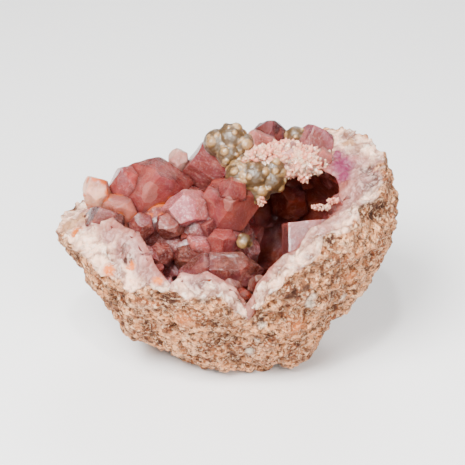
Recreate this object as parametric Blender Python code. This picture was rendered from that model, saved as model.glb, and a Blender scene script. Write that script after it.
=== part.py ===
"""A broken amethyst geode: a lumpy rock wall, the crust of quartz crystals that lines its hollow,
and balls of calcite that grew on the crystals.

Lengths are in millimetres and become metres through MM. X runs to the right, Y to the back and
Z up. Azimuths are in degrees, counted from +X towards +Y, so 270 is the front. Elevations are
above the horizon. The stone is modelled about the axis of its wall and then shifted level by
about a millimetre, so that the origin is on the resting plane under the middle of its box.
"""

import math
import random

import bmesh
import bpy
from mathutils import Matrix, Vector, noise

MM = 0.001

# The whole stone
HALF_WIDTH = 49.5
HALF_DEPTH = 38.0
WIDEST_HEIGHT = 50.0
BOWL_DEPTH = 58.0  # from the widest height down to where the bowl would close
BOWL_POWER = 1.55  # 1 is a cone and 2 an ellipsoid
LEFT_FULLNESS = 0.05  # how much fuller than that the bowl is at the left, and leaner at the right
FOOT_X = 3.0
LUMP_SIZE = 11.0
LUMP_HEIGHT = 2.6
SMALL_LUMP_SIZE = 5.0
SMALL_LUMP_HEIGHT = 0.9
LUMP_MIDDLE = 0.45  # usual distance to the middle of the nearest lump, as a share of the lump's size
BREAK_ROUGHNESS = 1.6
BREAK_GRAIN = 4.0

# Bulges and dents of the rind: azimuth, height, how far it stands out, how wide it is
LOBES = [
    (202, 15, 4.5, 13),
    (262, 6, 2.0, 11),
    (318, 8, 4.0, 13),
    (300, 24, 1.5, 12),
    (152, 46, -6.0, 16),
    (186, 42, 1.5, 10),
    (20, 58, 1.5, 14),
    (110, 25, 3.0, 14),
    (60, 30, 2.5, 16),
]

# Outer edge of the break: azimuth, height
OUTER_RIM = [
    (8, 63.5), (18, 63.8), (27, 63.5), (38, 62.5), (50, 60.0), (65, 56.5), (80, 53.0),
    (92, 49.0), (105, 46.5), (112, 47.5), (125, 46.0), (140, 46.5), (155, 45.5), (168, 46.5),
    (176, 47.5), (183, 46.8), (188, 45.8), (200, 46.5), (213, 43.8), (220, 40.0), (227, 39.2),
    (236, 42.1), (244, 42.4), (249, 41.1), (256, 40.7), (267, 41.5), (273, 36.0), (277, 33.5),
    (282, 32.5), (284, 37.0), (288, 43.8), (293, 44.8), (296, 48.5), (305, 50.2), (308, 52.5),
    (311, 58.0), (319, 57.6), (325, 58.2), (332, 61.2), (341, 61.6), (347, 62.8), (358, 63.6),
]

# Inner edge of the break: azimuth, distance from the axis, height. It runs far in at the back
# right, where the wall curls over into a roof.
INNER_RIM = [
    (3, 32.6, 55.3), (9, 32.0, 55.8), (14, 29.5, 56.5), (20, 25.5, 57.2), (30, 21.5, 57.5),
    (45, 18.5, 57.5), (60, 18.0, 57.0), (75, 19.5, 55.5), (85, 23.0, 52.5), (95, 27.5, 48.5),
    (112, 28.5, 46.0), (130, 27.5, 45.5), (150, 28.0, 45.5), (168, 31.5, 47.5),
    (176, 34.5, 49.0), (183, 38.5, 49.8), (193, 34.5, 51.1), (206, 32.1, 50.2),
    (216, 30.3, 50.3), (226, 30.8, 46.1), (235, 33.6, 44.2), (242, 35.0, 42.5),
    (245, 35.9, 41.9), (248, 33.4, 45.1), (255, 33.1, 44.7), (260, 31.5, 45.4),
    (266, 32.1, 44.0), (271, 32.0, 41.8), (275, 33.2, 40.8), (278, 35.3, 36.0),
    (282, 33.8, 38.6), (285, 32.1, 41.2), (293, 30.5, 44.7), (301, 30.8, 47.8),
    (308, 31.0, 48.3), (311, 32.0, 51.2), (316, 32.0, 54.0), (326, 32.4, 53.5),
    (336, 31.9, 52.5), (345, 32.3, 51.7), (353, 32.4, 54.5),
]

# The hollow
HOLLOW_MIDDLE = (1.0, 1.0, 36.0)
HOLLOW_HALF_WIDTH = 40.0
HOLLOW_HALF_DEPTH = 29.5
HOLLOW_HALF_HEIGHT = 24.0
HOLLOW_BLEND = 0.5  # share of the way down over which the broken edge eases into the hollow

# The lining of small quartz between the wall and the crystals
GAP = 0.3  # between solids that touch in the real stone
LINING_GAP = 1.3
LINING_EDGE = 1.2
LINING_THICKNESS = 3.6
LINING_START = 0.06  # share of the way down the hollow
LINING_FULL = 0.5  # share of the way down by which the lining has its full thickness

# Crystals. The normal of a face of a quartz point rises this far above its prism.
POINT_SLOPE = 38.2
PRISM_UNEVEN = (0.88, 1.05)
LARGE_FACE_SET_IN = (0.12, 0.3)
SMALL_FACE_SET_IN = (0.0, 0.12)

# The crystals that stand out: tip, azimuth and elevation in which each points, radius, length,
# roll of its faces, its height as a share of its width, and how many faces its point has
CRYSTALS = {
    "great": ((-18.6, -4, 61.4), 285, 43, 12.4, 26, -20, 0.85, 6),
    "great_foot": ((-32.4, -9, 53.2), 268, 38, 7.0, 16, 20, 0.85, 6),
    "great_shoulder": ((-30.0, 3, 60.4), 245, 60, 5.0, 18, 0, 1.0, 6),
    "ochre_block": ((-40.4, -1, 60.2), 240, 70, 4.8, 14, 30, 1.0, 6),
    "smoky_edge": ((-36.0, -9, 53.4), 262, 60, 6.0, 11, 0, 0.6, 6),
    "mauve_back": ((-13.0, 6, 60.4), 232, 32, 9.6, 20, 100, 0.95, 3),
    "pale_tip": ((-14.9, 14, 61.0), 270, 65, 3.4, 12, 0, 1.0, 6),
    "lilac": ((-20.4, -9, 53.9), 231, 26, 8.4, 18, 77, 1.0, 3),
    "lilac_foot": ((-20.2, -12, 47.6), 240, 15, 4.6, 12, 0, 1.0, 6),
    "rose": ((2.0, -9, 56.3), 277, 35, 10.8, 24, 25, 0.9, 6),
    "rose_cap": ((1.8, -5, 60.4), 272, 60, 4.6, 14, 0, 1.0, 6),
    "blush_left": ((-9.8, -14, 44.8), 262, 40, 7.4, 16, 10, 0.85, 6),
    "blush_right": ((-1.0, -15, 45.6), 275, 35, 5.8, 14, 25, 0.85, 6),
    "valley_high": ((-24.4, -13, 49.4), 275, 30, 4.4, 14, 10, 1.0, 6),
    "valley_low": ((-19.8, -17, 43.6), 260, 40, 4.0, 12, 30, 1.0, 6),
    "blush_end": ((-14.8, -17, 40.5), 240, 25, 4.2, 12, 0, 1.0, 6),
    "brown_slab_right": ((13.0, -19, 38.4), 0, 0, 6.4, 18, 0, 0.95, 6),
    "brown_slab_left": ((-15.6, -19, 37.6), 180, 0, 6.2, 18, 10, 0.95, 6),
    "mauve_bud": ((0.6, -25.5, 38.6), 285, 30, 4.2, 10, 0, 0.85, 6),
    "clear_front": ((2.4, -31, 41.0), 290, 45, 3.4, 10, 0, 1.0, 6),
    "gap_front": ((8.4, -29, 41.4), 262, 50, 3.4, 10, 0, 1.0, 6),
    "ledge": ((14.4, -9, 49.7), 200, 52, 11.0, 24, 72, 1.0, 3),
    "roof_pink": ((10.2, 13, 67.0), 275, 55, 5.2, 14, 0, 1.0, 6),
    "roof_purple": ((14.2, 19, 68.6), 290, 66, 6.4, 14, 15, 0.85, 6),
    "roof_rose": ((26.0, 14.5, 69.3), 270, 74, 6.4, 13, 0, 0.95, 6),
}

# Masses of smaller crystals: middle, radii, how many crystals stand on it, the share of its
# half-height above which they stand, and the range of their radii
MASSES = {
    "heap": ((-13.0, 7.0, 31.0), (22.0, 18.5, 18.0), 20, 0.0, (2.4, 4.4)),
    "roof_druse": ((19.5, 12.5, 57.8), (15.5, 7.0, 4.4), 26, -0.95, (1.7, 3.0)),
}

MASS_ROUGHNESS = 0.08
MASS_GRAIN = 3.0
STANDS_OUT = (0.5, 1.2)  # how far a crystal's tip is above its mass, in radii

# Small crystals of the lining
SMALL_CRYSTALS = 22
SMALL_RADIUS = (1.6, 3.0)
SMALL_SPREAD = (0.1, 0.8)  # shares of the way down the hollow

# Small crystals, of the lining and of the masses
GOLDEN_TURN = 0.618034  # of a full turn from one crystal to the next, which spreads them evenly
LENGTH_IN_RADII = 3.0
SIDEWAYS_LEAN = 25.0
UPWARD_LEAN = 20.0

# Calcite: middle and radius of each ball
CALCITE = {
    "calcite_cluster_upper": [
        ((-3.0, 16, 61.4), 4.2), ((1.2, 16, 63.0), 4.4), ((4.8, 15, 61.0), 3.7),
        ((0.6, 13.5, 59.0), 4.0), ((3.8, 13.5, 57.6), 3.2), ((-2.4, 18.5, 58.4), 4.2),
    ],
    "calcite_cluster_lower": [
        ((3.2, 5.5, 55.8), 3.8), ((8.0, 5.0, 56.2), 4.4), ((12.9, 5.5, 54.2), 4.0),
        ((9.0, 4.2, 51.8), 4.0), ((13.9, 6.5, 57.8), 3.2),
    ],
    "calcite_ball": [((5.0, -10.5, 43.0), 2.1)],
    "calcite_knob": [((20.6, 18.5, 62.6), 2.9)],
}

# Mesh density
SEGMENTS = 52
FOOT_ROWS = 2
WALL_ROWS = 14
BREAK_ROWS = 4
HOLLOW_ROWS = 7
LINING_SEGMENTS = 26
LINING_ROWS = 6

# Colours: red, green, blue, then roughness
RIND_COLOUR = (0.52, 0.33, 0.22, 0.9)
CRYSTAL_COLOUR = (0.62, 0.28, 0.28, 0.2)
CALCITE_COLOUR = (0.45, 0.36, 0.2, 0.4)


def smooth(share):
    """Ease from 0 to 1, held outside that range."""
    share = min(1.0, max(0.0, share))
    return share * share * (3.0 - 2.0 * share)


def direction(azimuth, elevation):
    """The unit vector that points this way."""
    turn = math.radians(azimuth)
    rise = math.radians(elevation)
    level = math.cos(rise)
    return Vector((math.cos(turn) * level, math.sin(turn) * level, math.sin(rise)))


def angles(vector):
    """The azimuth and elevation of a unit vector."""
    return math.degrees(math.atan2(vector.y, vector.x)), math.degrees(math.asin(vector.z))


def around(stations, azimuth):
    """The values of a list of stations at this azimuth, on straight lines between them."""
    first, last = stations[0], stations[-1]
    closed = [(last[0] - 360.0, *last[1:]), *stations, (first[0] + 360.0, *first[1:])]
    azimuth %= 360.0
    for low, high in zip(closed, closed[1:]):
        if low[0] <= azimuth <= high[0]:
            share = (azimuth - low[0]) / (high[0] - low[0])
            return [a + (b - a) * share for a, b in zip(low[1:], high[1:])]


# Rock wall


def bowl_point(azimuth, height):
    """A point of the bowl that the rind's lumps stand on."""
    turn = math.radians(azimuth)
    power = BOWL_POWER - LEFT_FULLNESS * math.cos(turn)
    below = abs(height - WIDEST_HEIGHT) / BOWL_DEPTH
    share = (1.0 - below**power) ** (1.0 / power)
    reach = share / math.hypot(math.cos(turn) / HALF_WIDTH, math.sin(turn) / HALF_DEPTH)
    shift = FOOT_X * max(0.0, 1.0 - height / WIDEST_HEIGHT)
    return Vector((shift + reach * math.cos(turn), reach * math.sin(turn), height))


def relief(point):
    """How far the rind stands out at a point of the bowl."""
    large = LUMP_MIDDLE - noise.voronoi(point / LUMP_SIZE)[0][0]
    small = LUMP_MIDDLE - noise.voronoi(point / SMALL_LUMP_SIZE)[0][0]
    out = LUMP_HEIGHT * large + SMALL_LUMP_HEIGHT * small
    for azimuth, height, stands_out, width in LOBES:
        away = (point - bowl_point(azimuth, height)).length / width
        out += stands_out * math.exp(-2.0 * away * away)
    return out


def wall_point(azimuth, height):
    """A point of the rind at this azimuth and height."""
    point = bowl_point(azimuth, height)
    outward = (point - Vector((FOOT_X, 0.0, WIDEST_HEIGHT))).normalized()
    point += outward * relief(point)
    point.z = max(point.z, 0.0) if height > 0.0 else 0.0
    return point


def inner_edge(azimuth):
    """A point of the break's inner edge."""
    reach, height = around(INNER_RIM, azimuth)
    return direction(azimuth, 0.0) * reach + Vector((0.0, 0.0, height))


def hollow_point(azimuth, share, inset=0.0):
    """A point of the hollow, from the break's inner edge at share 0 down to the floor at share 1.
    The inset is measured from the rock into the hollow."""
    turn = math.radians(azimuth)
    middle = Vector(HOLLOW_MIDDLE)
    half_width = HOLLOW_HALF_WIDTH - inset
    half_depth = HOLLOW_HALF_DEPTH - inset
    half_height = HOLLOW_HALF_HEIGHT - inset
    reach = 1.0 / math.hypot(math.cos(turn) / half_width, math.sin(turn) / half_depth)
    edge = inner_edge(azimuth) - middle
    across = math.hypot(edge.x, edge.y) / reach
    up = edge.z / half_height
    start = math.atan2(up, across)
    angle = start + (-math.pi / 2.0 - start) * share
    near_edge = 1.0 - smooth(share / HOLLOW_BLEND)
    stretch = 1.0 + (math.hypot(up, across) - 1.0) * near_edge
    stretch *= 1.0 - 2.0 * inset / (half_width + half_depth) * near_edge
    level = direction(azimuth, 0.0) * reach * math.cos(angle) * stretch
    return middle + level + Vector((0.0, 0.0, half_height * math.sin(angle) * stretch))


def shell_point(azimuth, row):
    """A point of the rock wall: rows run from the middle of the foot, up the rind, over the break
    and down the hollow to the middle of its floor."""
    if row <= FOOT_ROWS:
        foot = Vector((FOOT_X, 0.0, 0.0))
        return foot.lerp(wall_point(azimuth, 0.0), row / FOOT_ROWS)
    row -= FOOT_ROWS
    top = around(OUTER_RIM, azimuth)[0]
    if row <= WALL_ROWS:
        return wall_point(azimuth, top * row / WALL_ROWS)
    row -= WALL_ROWS
    if row <= BREAK_ROWS:
        share = row / BREAK_ROWS
        point = wall_point(azimuth, top).lerp(inner_edge(azimuth), share)
        point.z += noise.noise(point / BREAK_GRAIN) * BREAK_ROUGHNESS * math.sin(math.pi * share)
        return point
    return hollow_point(azimuth, (row - BREAK_ROWS) / HOLLOW_ROWS)


def lining_point(azimuth, row):
    """A point of the lining: rows run from the floor up its back to its edge, and down its face."""
    if row <= LINING_ROWS:
        share = 1.0 - (1.0 - LINING_START) * row / LINING_ROWS
        return hollow_point(azimuth, share, LINING_GAP)
    share = (row - LINING_ROWS) / LINING_ROWS
    thickness = LINING_EDGE + (LINING_THICKNESS - LINING_EDGE) * smooth(share / LINING_FULL)
    down = LINING_START + (1.0 - LINING_START) * share
    return hollow_point(azimuth, down, LINING_GAP + thickness)


def folded_ball(name, segments, rows, place):
    """A ball whose rows of points, from the lowest up, are moved by place(azimuth, row)."""
    bm = bmesh.new()
    bmesh.ops.create_uvsphere(bm, u_segments=segments, v_segments=rows, radius=1.0)
    for vert in bm.verts:
        height = max(-1.0, min(1.0, vert.co.z))
        row = round((1.0 - math.acos(height) / math.pi) * rows)
        azimuth = math.degrees(math.atan2(vert.co.y, vert.co.x))
        vert.co = place(azimuth, row) * MM
    return new_object(name, bm)


# Crystals


def quartz(name, tip, azimuth, elevation, radius, length, roll, flatness, faces, seed):
    """A quartz crystal: a prism of six sides under a point of three large faces and, where it has
    six faces, three small ones."""
    dice = random.Random(seed)
    planes = [(Vector((0.0, 0.0, -length)), Vector((0.0, 0.0, -1.0)))]
    for side in range(6):
        level = direction(60.0 * side + roll, 0.0)
        reach = radius * math.cos(math.pi / 6.0) * dice.uniform(*PRISM_UNEVEN)
        planes.append((level * reach, level))
        sloping = direction(60.0 * side + roll, POINT_SLOPE)
        if side % 2:
            planes.append((sloping * -radius * dice.uniform(*LARGE_FACE_SET_IN), sloping))
        elif faces == 6:
            planes.append((sloping * -radius * dice.uniform(*SMALL_FACE_SET_IN), sloping))
    bm = bmesh.new()
    bmesh.ops.create_cube(bm, size=4.0 * (radius + length))
    for point, normal in planes:
        parts = bm.verts[:] + bm.edges[:] + bm.faces[:]
        cut = bmesh.ops.bisect_plane(
            bm, geom=parts, plane_co=point, plane_no=normal, clear_outer=True
        )
        rim = [part for part in cut["geom_cut"] if isinstance(part, bmesh.types.BMEdge)]
        if rim:
            bmesh.ops.contextual_create(bm, geom=rim)
    turn = direction(azimuth, elevation).to_track_quat("Z", "Y").to_matrix().to_4x4()
    place = Matrix.Translation(tip) @ turn @ Matrix.Diagonal((1.0, flatness, 1.0, 1.0))
    bmesh.ops.transform(bm, matrix=Matrix.Scale(MM, 4) @ place, verts=bm.verts)
    return new_object(name, bm)


def small_quartz(name, tip, outward, radius, dice, seed):
    """A quartz crystal under a point of three faces, which leans by chance from this direction."""
    azimuth, elevation = angles(outward)
    azimuth += dice.uniform(-SIDEWAYS_LEAN, SIDEWAYS_LEAN)
    elevation += dice.uniform(-UPWARD_LEAN, UPWARD_LEAN)
    roll = dice.uniform(0.0, 60.0)
    length = LENGTH_IN_RADII * radius
    return quartz(name, tip, azimuth, elevation, radius, length, roll, 1.0, 3, seed)


def lining_crystals():
    """The small crystals of the lining, which point into the hollow."""
    dice = random.Random(3)
    found = []
    for number in range(SMALL_CRYSTALS):
        root = hollow_point(360.0 * number * GOLDEN_TURN, dice.uniform(*SMALL_SPREAD), LINING_GAP)
        inward = (Vector(HOLLOW_MIDDLE) - root).normalized()
        radius = dice.uniform(*SMALL_RADIUS)
        tip = root + inward * (LINING_THICKNESS + radius)
        found.append(small_quartz(f"lining_{number}", tip, inward, radius, dice, number))
    return found


def rounded_mass(name, middle, radii):
    """An uneven ellipsoid that smaller crystals stand on."""
    bm = bmesh.new()
    bmesh.ops.create_icosphere(bm, subdivisions=2, radius=1.0)
    for vert in bm.verts:
        rough = 1.0 + MASS_ROUGHNESS * noise.noise(vert.co * MASS_GRAIN)
        vert.co = (Vector(middle) + vert.co * Vector(radii) * rough) * MM
    return new_object(name, bm)


def crystals_on(name, middle, radii, count, lowest, radius_range):
    """Crystals spread over an ellipsoid, each pointing more or less straight out of it."""
    dice = random.Random(name)
    found = []
    for number in range(count):
        height = lowest + (1.0 - lowest) * (number + 0.5) / count
        ring = math.sqrt(1.0 - height * height)
        turn = 2.0 * math.pi * number * GOLDEN_TURN
        spot = Vector((ring * math.cos(turn), ring * math.sin(turn), height))
        outward = Vector([share / half for share, half in zip(spot, radii)]).normalized()
        radius = dice.uniform(*radius_range)
        tip = Vector(middle) + spot * Vector(radii) + outward * radius * dice.uniform(*STANDS_OUT)
        found.append(small_quartz(f"{name}_{number}", tip, outward, radius, dice, number))
    return found


# Calcite


def calcite_balls(name, balls):
    """The balls of one growth of calcite, each as an object."""
    found = []
    for number, (middle, radius) in enumerate(balls):
        bm = bmesh.new()
        bmesh.ops.create_icosphere(bm, subdivisions=2, radius=radius * MM)
        bmesh.ops.translate(bm, vec=Vector(middle) * MM, verts=bm.verts)
        found.append(new_object(f"{name}_{number}", bm))
    return found


# Objects


def new_object(name, bm):
    """An object with the mesh that bm holds, its faces pointing out."""
    bmesh.ops.recalc_face_normals(bm, faces=bm.faces)
    mesh = bpy.data.meshes.new(name)
    bm.to_mesh(mesh)
    bm.free()
    return bpy.data.objects.new(name, mesh)


def swollen(source, by):
    """A copy of this solid with its faces moved outwards."""
    bm = bmesh.new()
    bm.from_mesh(source.data)
    bm.normal_update()
    moves = [vert.normal * by * MM * vert.calc_shell_factor() for vert in bm.verts]
    for vert, move in zip(bm.verts, moves):
        vert.co += move
    return new_object(f"{source.name}_clearance", bm)


def combined(name, first, operation, others):
    """The first object joined with, or cut by, the others, as one object that takes their place.
    The exact solver leaves open edges where this many crystals meet, so the cuts are manifold."""
    if not others:
        first.name = name
        return first
    operands = bpy.data.collections.new("operands")
    bpy.context.scene.collection.children.link(operands)
    for obj in others:
        operands.objects.link(obj)
    bpy.context.scene.collection.objects.link(first)
    change = first.modifiers.new("combine", "BOOLEAN")
    change.operation = operation
    change.operand_type = "COLLECTION"
    change.collection = operands
    change.solver = "MANIFOLD"
    graph = bpy.context.evaluated_depsgraph_get()
    mesh = bpy.data.meshes.new_from_object(first.evaluated_get(graph))
    for obj in [first, *others]:
        bpy.data.objects.remove(obj)
    bpy.data.collections.remove(operands)
    mesh.name = name
    return bpy.data.objects.new(name, mesh)


def keep_largest(obj):
    """Delete every loose body of this object but the largest, such as a root that passes the wall."""
    bm = bmesh.new()
    bm.from_mesh(obj.data)
    waiting = set(bm.verts)
    bodies = []
    while waiting:
        body = set()
        reached = {waiting.pop()}
        while reached:
            vert = reached.pop()
            body.add(vert)
            near = {edge.other_vert(vert) for edge in vert.link_edges} - body
            reached |= near
            waiting -= near
        bodies.append(body)
    bodies.sort(key=len)
    for body in bodies[:-1]:
        bmesh.ops.delete(bm, geom=list(body), context="VERTS")
    bm.to_mesh(obj.data)
    bm.free()


def centre_over_origin(objects):
    """Shift these level, so that the middle of their bounding box is over the origin."""
    points = [vert.co for obj in objects for vert in obj.data.vertices]
    middle = [0.5 * (min(values) + max(values)) for values in zip(*points)]
    for obj in objects:
        obj.data.transform(Matrix.Translation((-middle[0], -middle[1], 0.0)))


def finish(obj, parts, colour):
    """Put an object in the stone's collection, with a material of its own."""
    red, green, blue, roughness = colour
    material = bpy.data.materials.new(obj.name)
    material.use_nodes = True
    shader = material.node_tree.nodes["Principled BSDF"]
    shader.inputs["Base Color"].default_value = (red, green, blue, 1.0)
    shader.inputs["Roughness"].default_value = roughness
    shader.inputs["Metallic"].default_value = 0.0
    obj.data.materials.clear()
    obj.data.materials.append(material)
    parts.objects.link(obj)


def main():
    for obj in list(bpy.data.objects):
        bpy.data.objects.remove(obj)
    parts = bpy.data.collections.new("amethyst_geode")
    bpy.context.scene.collection.children.link(parts)

    rows = FOOT_ROWS + WALL_ROWS + BREAK_ROWS + HOLLOW_ROWS
    shell = folded_ball("geode_shell", SEGMENTS, rows, shell_point)

    calcite = []
    for name, balls in CALCITE.items():
        first, *others = calcite_balls(name, balls)
        calcite.append(combined(name, first, "UNION", others))

    lining = folded_ball("lining", LINING_SEGMENTS, 2 * LINING_ROWS, lining_point)
    grown = [quartz(name, *shape, seed) for seed, (name, shape) in enumerate(CRYSTALS.items())]
    grown += lining_crystals()
    for name, (middle, radii, count, lowest, radius_range) in MASSES.items():
        grown.append(rounded_mass(name, middle, radii))
        grown += crystals_on(name, middle, radii, count, lowest, radius_range)
    crust = combined("amethyst_crust", lining, "UNION", grown)
    clearances = [swollen(solid, GAP) for solid in [shell, *calcite]]
    crust = combined("amethyst_crust", crust, "DIFFERENCE", clearances)
    keep_largest(crust)
    centre_over_origin([shell, crust, *calcite])

    finish(shell, parts, RIND_COLOUR)
    finish(crust, parts, CRYSTAL_COLOUR)
    for obj in calcite:
        obj.data.shade_smooth()
        finish(obj, parts, CALCITE_COLOUR)


main()
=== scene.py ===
"""The looks of a broken amethyst geode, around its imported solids.

Shapes are worked out in millimetres about the axis of the rock wall, with X to the right, Y to the
back and Z up. SHIFT and MM then take them into the frame. Azimuths are in degrees from +X towards
+Y, so 270 is the front, and elevations are above the horizon. The rock and the crystals repeat the
driving sizes of the solids, so that the finer shapes made here lie on them. Only the rim at the left
and six of the large crystals are a little off, by up to about 3 mm.
"""

import math
import random

import bmesh
import bpy
import numpy as np
from mathutils import Matrix, Vector, kdtree, noise


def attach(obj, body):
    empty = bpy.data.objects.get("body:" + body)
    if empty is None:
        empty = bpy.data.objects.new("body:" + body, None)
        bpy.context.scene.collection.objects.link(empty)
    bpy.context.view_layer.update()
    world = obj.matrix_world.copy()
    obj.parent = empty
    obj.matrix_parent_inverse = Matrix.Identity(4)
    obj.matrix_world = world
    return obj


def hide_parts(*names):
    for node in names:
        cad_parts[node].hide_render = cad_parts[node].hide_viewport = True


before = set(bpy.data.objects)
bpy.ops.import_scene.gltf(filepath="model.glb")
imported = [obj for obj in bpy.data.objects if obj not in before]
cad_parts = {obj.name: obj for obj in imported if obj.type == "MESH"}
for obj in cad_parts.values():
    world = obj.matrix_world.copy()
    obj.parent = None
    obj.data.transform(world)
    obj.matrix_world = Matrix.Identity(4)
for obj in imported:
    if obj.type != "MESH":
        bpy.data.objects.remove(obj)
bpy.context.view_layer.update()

NOISE_SEED = 7
noise.seed_set(NOISE_SEED)  # noise vectors follow the clock without it

MM = 0.001
SHIFT = Vector((0.16, -1.05, 0.0))  # where the axis of the wall stands in the frame
INTO_FRAME = Matrix.Scale(MM, 4) @ Matrix.Translation(SHIFT)

# The whole stone. The bowl is a cone at power 1 and an ellipsoid at power 2.
HALF_WIDTH = 49.5
HALF_DEPTH = 38.0
WIDEST_HEIGHT = 50.0
BOWL_DEPTH = 58.0
BOWL_POWER = 1.55
LEFT_FULLNESS = 0.05
FOOT_X = 3.0
LUMP_SIZE = 11.0
LUMP_HEIGHT = 2.6
SMALL_LUMP_SIZE = 5.0
SMALL_LUMP_HEIGHT = 0.9
LUMP_MIDDLE = 0.4
LUMP_ROUNDNESS = 1.3
BREAK_ROUGHNESS = 1.6
BREAK_GRAIN = 4.0

# Bulges and dents of the rind: azimuth, height, how far it stands out, how wide it is
LOBES = [
    (202, 15, 4.5, 13), (262, 6, 2, 11), (318, 8, 4, 13), (300, 24, 1.5, 12), (152, 46, -6, 16),
    (186, 42, 1.5, 10), (20, 58, 1.5, 14), (110, 25, 3, 14), (60, 30, 2.5, 16),
]

# Outer edge of the break: azimuth, height
OUTER_RIM = [
    (8, 63.5), (18, 63.8), (27, 63.5), (38, 62.5), (50, 60), (65, 56.5), (80, 53),
    (92, 49), (105, 46.5), (112, 47.5), (125, 46), (140, 46.5), (155, 45.5), (168, 45.4),
    (176, 45.8), (183, 45.2), (188, 44.8), (200, 46), (213, 43.8), (220, 40), (227, 39.2),
    (236, 42.1), (244, 42.4), (249, 41.1), (256, 40.7), (267, 41.5), (273, 36), (277, 33.5),
    (282, 32.5), (284, 37), (288, 43.8), (293, 44.8), (296, 48.5), (305, 50.2), (308, 52.5),
    (311, 58), (319, 57.6), (325, 58.2), (332, 61.2), (341, 61.6), (347, 62.8), (358, 63.6),
]

# Inner edge of the break: azimuth, distance from the axis, height
INNER_RIM = [
    (3, 32.6, 55.3), (9, 32, 55.8), (14, 29.5, 56.5), (20, 25.5, 57.2), (30, 21.5, 57.5),
    (45, 18.5, 57.5), (60, 18, 57), (75, 19.5, 55.5), (85, 23, 52.5), (95, 27.5, 48.5),
    (112, 28.5, 46), (130, 27.5, 45.5), (150, 28, 45.5), (168, 31.5, 47.5),
    (176, 34.5, 48.2), (183, 38.5, 48.6), (193, 34.5, 50.2), (206, 32.1, 49.6),
    (216, 30.3, 50.3), (226, 30.8, 46.1), (235, 33.6, 44.2), (242, 35, 42.5),
    (245, 35.9, 41.9), (248, 33.4, 45.1), (255, 33.1, 44.7), (260, 31.5, 45.4),
    (266, 32.1, 44), (271, 32, 41.8), (275, 33.2, 40.8), (278, 35.3, 36),
    (282, 33.8, 38.6), (285, 32.1, 41.2), (293, 30.5, 44.7), (301, 30.8, 47.8),
    (308, 31, 48.3), (311, 32, 51.2), (316, 32, 54), (326, 32.4, 53.5),
    (336, 31.9, 52.5), (345, 32.3, 51.7), (353, 32.4, 54.5),
]

HOLLOW_MIDDLE = (1.0, 1.0, 36.0)
HOLLOW_HALVES = (40.0, 29.5, 24.0)  # half of its width, depth and height
HOLLOW_BLEND = 0.5  # share of the way down over which the broken edge eases into the hollow

# Fine relief of the rock: each pair is the height and the size of a layer
RIND_KNOBS = ((1.5, 5.6), (0.8, 2.6))
RIND_GRAINS = ((0.42, 1.3),)
KNOB_TOP = 0.4
KNOB_FALL = 1.5
KNOB_BEND = (0.8, 2.5)
RIND_LUMPS = ((2.0, LUMP_SIZE), (1.0, SMALL_LUMP_SIZE))  # only for the colours: the pale tops, and the painted shade in the dents
RIND_GRIT = (0.28, 1.9)
GRIT_LAYERS = (0.9, 2.1, 3)  # how fast its layers weaken and get finer, and how many there are
RIND_PITS = (3.2, 3.4)
PIT_START = 0.34
BREAK_CHIPS = ((2.4, 5.0), (1.5, 2.1))
BREAK_KNOBS = ((0.6, 1.5),)
CHIP_SPREAD = 7.3  # sets the tilts of neighbouring chips far apart
CALM = 0.5  # how much lower the chips are in the glassy places
LEAST_WALL = 1.2  # what the fine relief leaves of the wall
RIM_DROP = 1.3  # how far the fine rim sinks, so that its knobs don't stand above the coarse one
RIM_DENT = 0.3  # the deepest dent at the rim
MORE_DENT = 3.0  # how much deeper a dent may be away from it
INTO_HOLLOW = 0.85  # how much of the relief is lost towards the hollow

# Where the rind gives way to the break, along lines that wander
RIND_LENGTH = 60.0
BREAK_WIDTH = 9.0
RIM_WANDER = ((3.2, 6.0), (1.6, 2.2))
INNER_WANDER = ((0.3, 5.0),)

# Rows of the rock's mesh: fine here, and coarse where it only trims the crystals
FINE_ROWS = {"foot": 5, "wall": 118, "break": 40, "hollow": 22}
FINE_SEGMENTS = 470
COARSE_ROWS = {"foot": 2, "wall": 14, "break": 4, "hollow": 7}
COARSE_SEGMENTS = 52

# Where crystals may be: rows of the mesh, the share of them up to the rim, and how much rind is left
LIMIT_ROWS = 24
LIMIT_SEGMENTS = 240
LIMIT_WALL = 0.75
LIMIT_REACH = 80.0
LIMIT_CLOSES = (0.9, 0.1)  # its top closes from this share of its rows on, over this share of them
LIMIT_TOP = (60.0, 40.0)  # the height of its upper rows is the first, plus their share of the second
RIND_LEFT = 2.6

# The lining of small quartz. It starts inside the rock, where all of the crystals are cut off.
INTO_ROCK = -0.8
LINING_EDGE = 2.6
LINING_THICKNESS = 5.0
LINING_START = 0.03  # share of the way down the hollow
LINING_FULL = 0.5  # share of the way down by which the lining has its full thickness
LINING_CHIPS = ((0.5, 2.6),)
LINING_SEGMENTS = 120
LINING_ROWS = 26

# Crystals. The normal of a face of a quartz point rises this far above its prism.
POINT_SLOPE = 38.2
PRISM_UNEVEN = (0.88, 1.05)
LARGE_FACE_SET_IN = (0.12, 0.3)
SMALL_FACE_SET_IN = (0.0, 0.12)
SWELL = 0.035  # unevenness of a large crystal, in radii
SWELL_SIZE = 0.6
FACE_RELIEF = ((0.1, 2.4), (0.05, 0.9))
LINING_SEED = 3
TONE_SEED = 100  # the number of a crystal is added to it
SHADE_SEED = 5
SHARP_ANGLE = 24.0

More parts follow.
